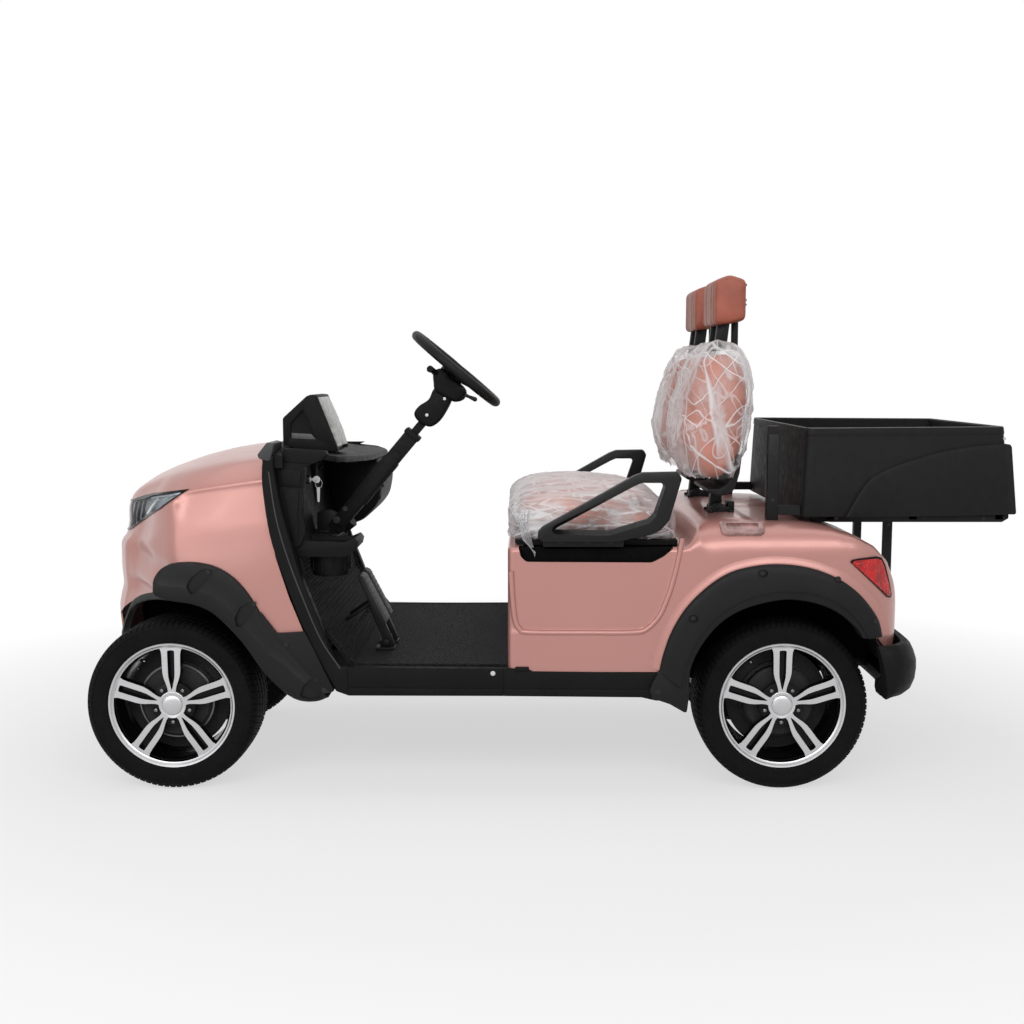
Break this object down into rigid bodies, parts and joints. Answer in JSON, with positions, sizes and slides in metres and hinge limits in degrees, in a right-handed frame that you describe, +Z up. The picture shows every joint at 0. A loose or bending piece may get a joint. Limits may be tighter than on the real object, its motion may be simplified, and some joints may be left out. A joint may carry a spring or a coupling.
{
  "type": "electric utility cart",
  "caption": "Open electric utility cart with a bench seat, headrests, moulded arch flares, alloy wheels and an open moulded cargo tub behind the seats.",
  "frame": {"origin": "on the ground under the middle of the cart's box", "axes": "+X forward, +Y to the cart's left, +Z up"},
  "size_m": [2.903, 1.224, 1.5899],
  "materials": {
    "tyre": "matt rubber",
    "alloy": "machined spokes, gloss black pockets",
    "body_paint": "pearl rose paint",
    "frame_steel": "satin black powder coat",
    "knuckle_iron": "cast",
    "black_plastic": "fine grain",
    "flare_plastic": "fine grain",
    "tub_plastic": "grained",
    "liner_plastic": "coarse matt moulding",
    "floor_rubber": "pebbled",
    "pedal_steel": "satin black",
    "grip": "soft grip",
    "lamp_clear": "clear moulded lens",
    "lamp_red": "red faceted lens",
    "upholstery": "salmon vinyl under protective film",
    "brown_leather": "grained brown",
    "battery_case": "moulded",
    "handle_metal": "painted plate"
  },
  "bodies": {
    "root": {"nose_cowl": "body_paint", "rear_body": "body_paint", "chassis_frame": "frame_steel", "front_axle_beam": "frame_steel", "leaf_springs": "frame_steel", "rear_axle": "frame_steel", "steering_gear": "frame_steel", "cargo_frame": "frame_steel", "seat_back_frame": "frame_steel", "cowl_band": "black_plastic", "rocker_panels": "black_plastic", "rear_bumper": "black_plastic", "dash_panel": "black_plastic", "cup_holder_tray": "black_plastic", "display_pod": "black_plastic", "steering_column": "black_plastic", "armrests": "black_plastic", "front_flares": "flare_plastic", "rear_flares": "flare_plastic", "cargo_tub": "tub_plastic", "arch_liners": "liner_plastic", "floor_pan": "floor_rubber", "toe_board": "floor_rubber", "pedals": "pedal_steel", "headlights": "lamp_clear", "taillights": "lamp_red", "seat_backs": "upholstery", "headrests": "brown_leather", "battery_pack": "battery_case", "deck_handle": "handle_metal"},
    "steering_wheel": {"steering_wheel": "grip"},
    "lower_shaft": {"lower_shaft": "frame_steel"},
    "knuckle_left": {"knuckle_left": "knuckle_iron"},
    "knuckle_right": {"knuckle_right": "knuckle_iron"},
    "tie_rod": {"tie_rod": "frame_steel"},
    "pitman_arm": {"pitman_arm": "frame_steel"},
    "drag_link": {"drag_link": "frame_steel"},
    "seat": {"seat_base": "black_plastic", "seat_cushion": "upholstery"},
    "wheel_front_left": {"tyre_front_left": "tyre", "rim_front_left": "alloy"},
    "wheel_front_right": {"tyre_front_right": "tyre", "rim_front_right": "alloy"},
    "wheel_rear_left": {"tyre_rear_left": "tyre", "rim_rear_left": "alloy"},
    "wheel_rear_right": {"tyre_rear_right": "tyre", "rim_rear_right": "alloy"}
  },
  "joints": [
    {"name": "steering", "type": "hinge", "parent": "root", "child": "steering_wheel", "pos_m": [0.2985, 0.29, 1.303], "axis": [-0.6428, 0, 0.766], "range_deg": [-540, 540]},
    {"name": "lower_shaft_turn", "type": "hinge", "parent": "root", "child": "lower_shaft", "pos_m": [0.6315, 0.29, 0.823], "axis": [-0.7508, 0.2948, 0.5911], "range_deg": [-541, 541]},
    {"name": "pitman_turn", "type": "hinge", "parent": "root", "child": "pitman_arm", "pos_m": [1.1155, 0.1, 0.259], "axis": [0, 0, 1], "range_deg": [-31, 31]},
    {"name": "drag_link_pivot", "type": "hinge", "parent": "pitman_arm", "child": "drag_link", "pos_m": [1.0055, 0.1, 0.245], "axis": [0, 0, 1], "range_deg": [-31, 31]},
    {"name": "knuckle_left_turn", "type": "hinge", "parent": "root", "child": "knuckle_left", "pos_m": [1.1755, 0.345, 0.268], "axis": [0, 0, 1], "range_deg": [-31, 31]},
    {"name": "knuckle_right_turn", "type": "hinge", "parent": "root", "child": "knuckle_right", "pos_m": [1.1755, -0.345, 0.268], "axis": [0, 0, 1], "range_deg": [-31, 31]},
    {"name": "tie_rod_pivot", "type": "hinge", "parent": "knuckle_left", "child": "tie_rod", "pos_m": [1.0655, 0.345, 0.215], "axis": [0, 0, 1], "range_deg": [-31, 31]},
    {"name": "wheel_front_left_spin", "type": "hinge", "parent": "knuckle_left", "child": "wheel_front_left", "pos_m": [1.1755, 0.412, 0.268], "axis": [0, 1, 0], "continuous": true},
    {"name": "wheel_front_right_spin", "type": "hinge", "parent": "knuckle_right", "child": "wheel_front_right", "pos_m": [1.1755, -0.412, 0.268], "axis": [0, 1, 0], "continuous": true},
    {"name": "wheel_rear_left_spin", "type": "hinge", "parent": "root", "child": "wheel_rear_left", "pos_m": [-0.7145, 0.412, 0.268], "axis": [0, 1, 0], "continuous": true},
    {"name": "wheel_rear_right_spin", "type": "hinge", "parent": "root", "child": "wheel_rear_right", "pos_m": [-0.7145, -0.412, 0.268], "axis": [0, 1, 0], "continuous": true},
    {"name": "seat_lift", "type": "hinge", "parent": "root", "child": "seat", "pos_m": [0.1075, 0, 0.781], "axis": [0, 1, 0], "range_deg": [0, 60]}
  ],
  "couplings": [
    {"joint": "lower_shaft_turn", "follows": "steering", "ratio": 1},
    {"joint": "pitman_turn", "follows": "steering", "ratio": 0.055556},
    {"joint": "drag_link_pivot", "follows": "steering", "ratio": -0.055556},
    {"joint": "knuckle_left_turn", "follows": "steering", "ratio": 0.055556},
    {"joint": "knuckle_right_turn", "follows": "steering", "ratio": 0.055556},
    {"joint": "tie_rod_pivot", "follows": "steering", "ratio": -0.055556}
  ]
}
